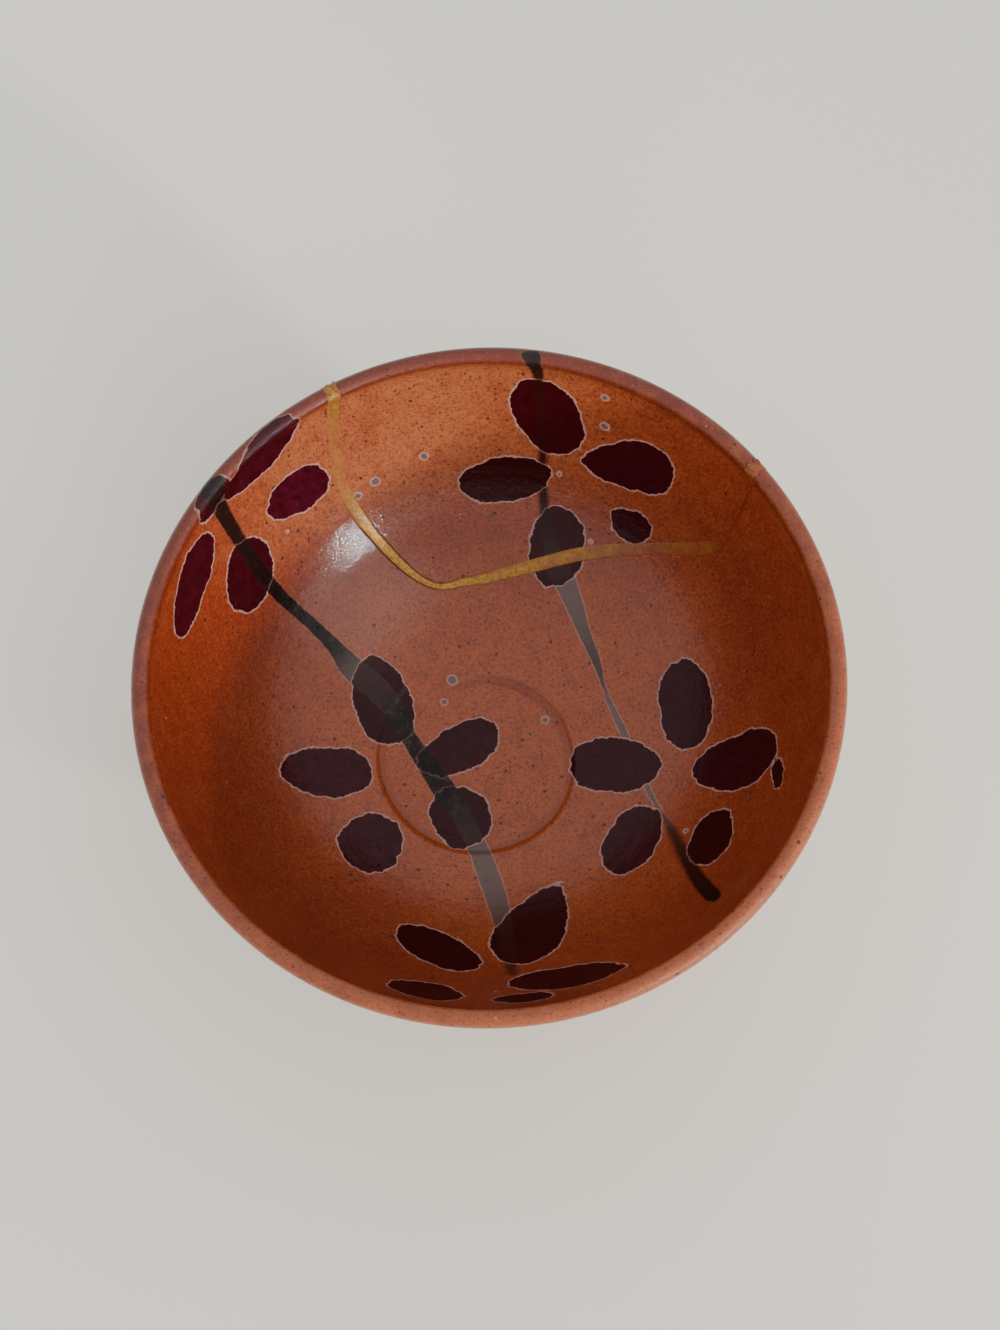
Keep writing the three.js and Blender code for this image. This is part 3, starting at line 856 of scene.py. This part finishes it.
def paintMarks(n, place, colour, lip):
    # stems, leaves with their outlines, then drops; every edge is a distance in mm made ragged by a noise
    ragged = n.minus(n.noise(place, "ragged"), 0.5)
    leaf, drop, stem = (n.plus(n.attribute(kind + "Edge"), n.times(ragged, glaze[kind + "Ragged"]))
                        for kind in ("leaf", "drop", "stem"))
    leafFill, leafLine = fillAndLine(n, leaf, -0.16)
    dropFill, dropLine = fillAndLine(n, drop, -0.2)
    streak = n.noise(place, "streak")
    tone = n.times(n.attribute("leafTone"), n.ramp(streak, 0.35, 0.65))
    plum = n.mix(tone, glaze["plum"], glaze["purple"])

    # a stem is brown or grey, black where it is dark, thin and hazy in streaks, soft-edged where it is pale
    grey = n.attribute("stemGrey")
    dark = n.attribute("stemDark")
    stemColour = n.mix(grey, glaze["stemBrown"], glaze["stemGrey"])
    stemColour = n.mix(n.times(dark, n.ramp(streak, 0.25, 0.5, 0.93, 1)), stemColour, glaze["stemBlack"])
    haze = n.times(n.times(dark, grey), n.ramp(streak, 0.5, 0.68, 0, 0.75))
    stemColour = n.mix(haze, stemColour, glaze["stemGrey"])
    thinPaint = n.times(n.ramp(dark, 0, 0.7, 1, 0.2), n.ramp(streak, 0.25, 0.75, 0.04, 0.22))
    soft = n.times(n.minus(1, grey, True), n.ramp(dark, 0.4, 1, 0.7, 0))
    share = n.math("DIVIDE", stem, n.plus(soft, 0.2))
    cover = n.times(n.ramp(share, 1, -1), n.minus(1, thinPaint))
    stemLine = n.times(n.times(n.ramp(stem, 0.35, 0.2), n.ramp(stem, -0.15, 0)), grey)
    colour = n.mix(cover, colour, stemColour)
    colour = n.mix(n.times(stemLine, 0.55), colour, glaze["outline"])

    colour = n.mix(leafFill, colour, plum)
    over = n.times(n.times(leafFill, cover), n.ramp(dark, 0, 0.9, 0, 0.9))
    colour = n.mix(over, colour, stemColour)
    lineCover = n.times(leafLine, n.ramp(n.times(cover, dark), 0, 0.7, 0.85, 0.2))
    lineCover = n.times(lineCover, n.ramp(lip, 0, 1, 1, 0.6))
    colour = n.mix(lineCover, colour, glaze["outline"])
    colour = n.mix(n.times(dropFill, 0.85), colour, glaze["dropGrey"])
    colour = n.mix(n.times(dropLine, 0.8), colour, glaze["outline"])
    pigment = n.math("MAXIMUM", leafFill, n.times(cover, n.ramp(dark, 0, 0.6, 0.2, 1)))
    return colour, pigment, leafLine


def potteryGlaze():
    # ground, lip, specks, painting and the bare clay of the foot; the pigment dulls the gloss, and orange
    # peel, grit, pits and the raised outlines make the bump
    n = Nodes("rustGlaze")
    place = n.add("TexCoord", output="Object")
    colour, mottle, grain = bodyColour(n, place)
    # the spiral groove painted darker: pooled glaze and painted shade
    colour = n.mix(n.times(n.attribute("pooledAndShade"), 0.75), colour, glaze["pooledAndShade"])
    colour, lip = colourLip(n, colour, mottle, grain)
    colour, pits = addSpecks(n, place, colour)
    colour, pigment, leafLine = paintMarks(n, place, colour, lip)
    clay = n.ramp(n.plus(n.attribute("bareClay"), n.times(n.minus(mottle, 0.5), 0.9)), 0.45, 0.55)
    colour = n.mix(clay, colour, n.mix(n.ramp(mottle, 0.3, 0.7), glaze["clay"], glaze["clayDark"]))

    shine = n.minus(1, clay)
    coat = n.times(shine, n.ramp(n.math("MAXIMUM", pigment, n.times(lip, 0.8)), 0, 1, 0.85, 0.42))
    level = n.plus(n.times(shine, n.ramp(pigment, 0, 1, 0.22, 0.04)), n.times(lip, 0.12))
    grit = n.times(grain, n.ramp(lip, 0, 1, 0.8, 2.4))
    height = n.plus(n.plus(n.times(n.noise(place, "peel"), 1.2), grit), pits)
    bump = n.bump(n.plus(height, n.times(leafLine, 0.5)))
    return n.finish({
        "Base Color": colour, "Roughness": n.ramp(lip, 0, 1, 0.5, 0.36), "IOR": glaze["ior"],
        "Specular IOR Level": level, "Normal": bump, "Coat Weight": coat,
        "Coat Roughness": glaze["coatRoughness"], "Coat IOR": glaze["coatIor"], "Coat Normal": bump})


gold = {
    "leaf": (0.53, 0.27, 0.052, 1), "leafDeep": (0.24, 0.094, 0.012, 1), "olive": (0.27, 0.135, 0.022, 1),
    # edge is painted shade along the sides of the raised line
    "edge": (0.075, 0.026, 0.006, 1),
    "metallic": 0.5,
    "level": 0.22,
    "coatRoughness": 0.08,
}


def goldLacquer():
    # how much gold is left: less with wear, in patches, and less at the edges but for a strand along each;
    # where it is gone the glaze's own colour and gloss show
    n = Nodes("goldLacquer")
    place = n.add("TexCoord", output="Object")
    body, mottle, grain = bodyColour(n, place)
    patches = n.noise(place, "patches")
    wear, rim = n.attribute("wear"), n.attribute("rim")
    rough = n.plus(n.times(n.minus(patches, 0.5), 1.3), n.times(n.minus(grain, 0.5), 0.9))
    strand = n.times(n.ramp(rim, 0.45, 0.62), n.ramp(rim, 0.95, 0.75))
    fade = n.times(n.ramp(rim, 0.35, 1), n.ramp(wear, 0.1, 0.7, 0.2, 0.8))
    thinned = n.plus(wear, n.plus(rough, fade))
    thinned = n.minus(thinned, n.times(strand, n.ramp(wear, 0.3, 0.6, 0, 0.4)))
    cover = n.ramp(thinned, 1.1, 0.25)
    full = n.mix(n.ramp(grain, 0.35, 0.65), gold["leafDeep"], gold["leaf"])
    full = n.mix(n.ramp(cover, 0.9, 0.4), full, gold["olive"])
    # dark edges where the line stands full height: painted shade at its sides
    edge = n.times(n.ramp(rim, 0.5, 0.76), n.ramp(wear, 0.12, 0.3, 1, 0))
    full = n.mix(edge, full, gold["edge"])
    bump = n.bump(n.plus(n.times(grain, 1), n.times(patches, 1.4)))
    return n.finish({
        "Base Color": n.mix(cover, body, full), "Metallic": n.ramp(cover, 0.3, 1, 0, gold["metallic"]),
        "Roughness": n.ramp(cover, 0, 1, 0.5, 0.42), "Specular IOR Level": gold["level"], "Normal": bump,
        "Coat Weight": n.ramp(cover, 0.2, 1, 0.85, 0.12), "Coat Roughness": gold["coatRoughness"],
        "Coat IOR": glaze["coatIor"], "Coat Normal": bump})


glazeMaterial = potteryGlaze()
goldMaterial = goldLacquer()
print("materials made")
pieces = [
    (makePottery("bowlBody", 1), "bowl_body", glazeMaterial, "rust_glaze"),
    (makePottery("rimShard", -1), "rim_shard", glazeMaterial, "rust_glaze"),
    (makeSeam(), "gold_seam", goldMaterial, "gold_lacquer"),
]
for obj, node, material, slot in pieces:
    obj.data.materials.append(material)
    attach(obj, "root")
    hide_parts(node)
print("pieces set in the frame:", len(pieces))

stage = {
    "floorSize": 6,  # metres
    "floorColour": (0.97, 0.94, 0.8, 1), "floorRoughness": 0.7,
    "roomColour": (0.95, 0.97, 1, 1), "roomLight": 1.06,
}
view = {"elevation": 71.07, "roll": -4.43, "place": (3.1, -241.7, 787.3), "lens": 81.2, "sensor": 36}
# lamps: where each comes from, sizes in metres, and what it acts on
lamps = {
    "windowGlint": {"azimuth": -48.5, "elevation": 18, "distance": 1.3, "size": (0.034, 0.034),
                    "power": 7.5, "colour": (0.93, 0.96, 1), "acts": "gloss"},
    "roomGlow": {"azimuth": -38, "elevation": 38, "distance": 3.2, "size": (2, 2.6),
                 "power": 22, "colour": (1, 0.97, 0.93), "acts": "both"},
    "sideGlow": {"azimuth": -78, "elevation": 15, "distance": 1.5, "size": (0.5, 0.2),
                 "power": 9, "colour": (1, 0.95, 0.9), "acts": "soft"},
}
lampTarget = (0, 0, 0.05)
# a narrow beam over the near lip on to the far wall
beam = {
    "azimuth": -39, "elevation": 13.5, "distance": 1.8, "from": (0, 0, 0.068), "target": (0.03, 0.037, 0.068),
    "radius": 0.07, "power": 114, "colour": (1, 0.93, 0.86), "cone": 10, "blend": 0.8,
}


def makeFloor():
    # one square round the origin
    corners = stage["floorSize"] / 2 / mm * np.array([(-1, -1, 0), (1, -1, 0), (1, 1, 0), (-1, 1, 0)])
    floor = makeMesh("floor", corners, [np.array([[0, 1, 2, 3]])])
    floor.data.materials.append(Nodes("paleTable").finish({
        "Base Color": stage["floorColour"], "Roughness": stage["floorRoughness"]}))


def placeLamp(lamp, settings, centre, target):
    # the lamp stands at its azimuth, elevation and distance from the centre, and faces the target
    lamp.energy = settings["power"]
    lamp.color = settings["colour"]
    obj = bpy.data.objects.new(lamp.name, lamp)
    a, e = np.radians(settings["azimuth"]), np.radians(settings["elevation"])
    away = Vector((np.cos(a) * np.cos(e), np.sin(a) * np.cos(e), np.sin(e))) * settings["distance"]
    obj.location = Vector(centre) + away
    obj.rotation_euler = (obj.location - Vector(target)).to_track_quat("Z", "Y").to_euler()
    bpy.context.scene.collection.objects.link(obj)
    return obj


def makeLights():
    # an even pale room, the lamps and the beam
    world = bpy.data.worlds.new("softRoom")
    world.use_nodes = True
    background = world.node_tree.nodes["Background"]
    background.inputs["Color"].default_value = stage["roomColour"]
    background.inputs["Strength"].default_value = stage["roomLight"]
    bpy.context.scene.world = world
    for name, settings in lamps.items():
        lamp = bpy.data.lights.new(name, "AREA")
        lamp.shape = "RECTANGLE"
        lamp.size, lamp.size_y = settings["size"]
        obj = placeLamp(lamp, settings, lampTarget, lampTarget)
        obj.visible_diffuse = settings["acts"] != "gloss"
        obj.visible_glossy = settings["acts"] != "soft"
    lamp = bpy.data.lights.new("wallBeam", "SPOT")
    lamp.shadow_soft_size = beam["radius"]
    lamp.spot_size = np.radians(beam["cone"])
    lamp.spot_blend = beam["blend"]
    placeLamp(lamp, beam, beam["from"], beam["target"]).visible_glossy = False


def makeCamera():
    # tilted down from level, then rolled
    data = bpy.data.cameras.new("camera")
    data.lens = view["lens"]
    data.sensor_width = view["sensor"]
    camera = bpy.data.objects.new("camera", data)
    tilt = Matrix.Rotation(np.radians(90 - view["elevation"]), 4, "X")
    roll = Matrix.Rotation(np.radians(view["roll"]), 4, "Z")
    camera.matrix_world = Matrix.Translation(Vector(view["place"]) * mm) @ tilt @ roll
    bpy.context.scene.collection.objects.link(camera)
    bpy.context.scene.camera = camera


makeFloor()
makeLights()
makeCamera()
print("stage, lights and camera made")
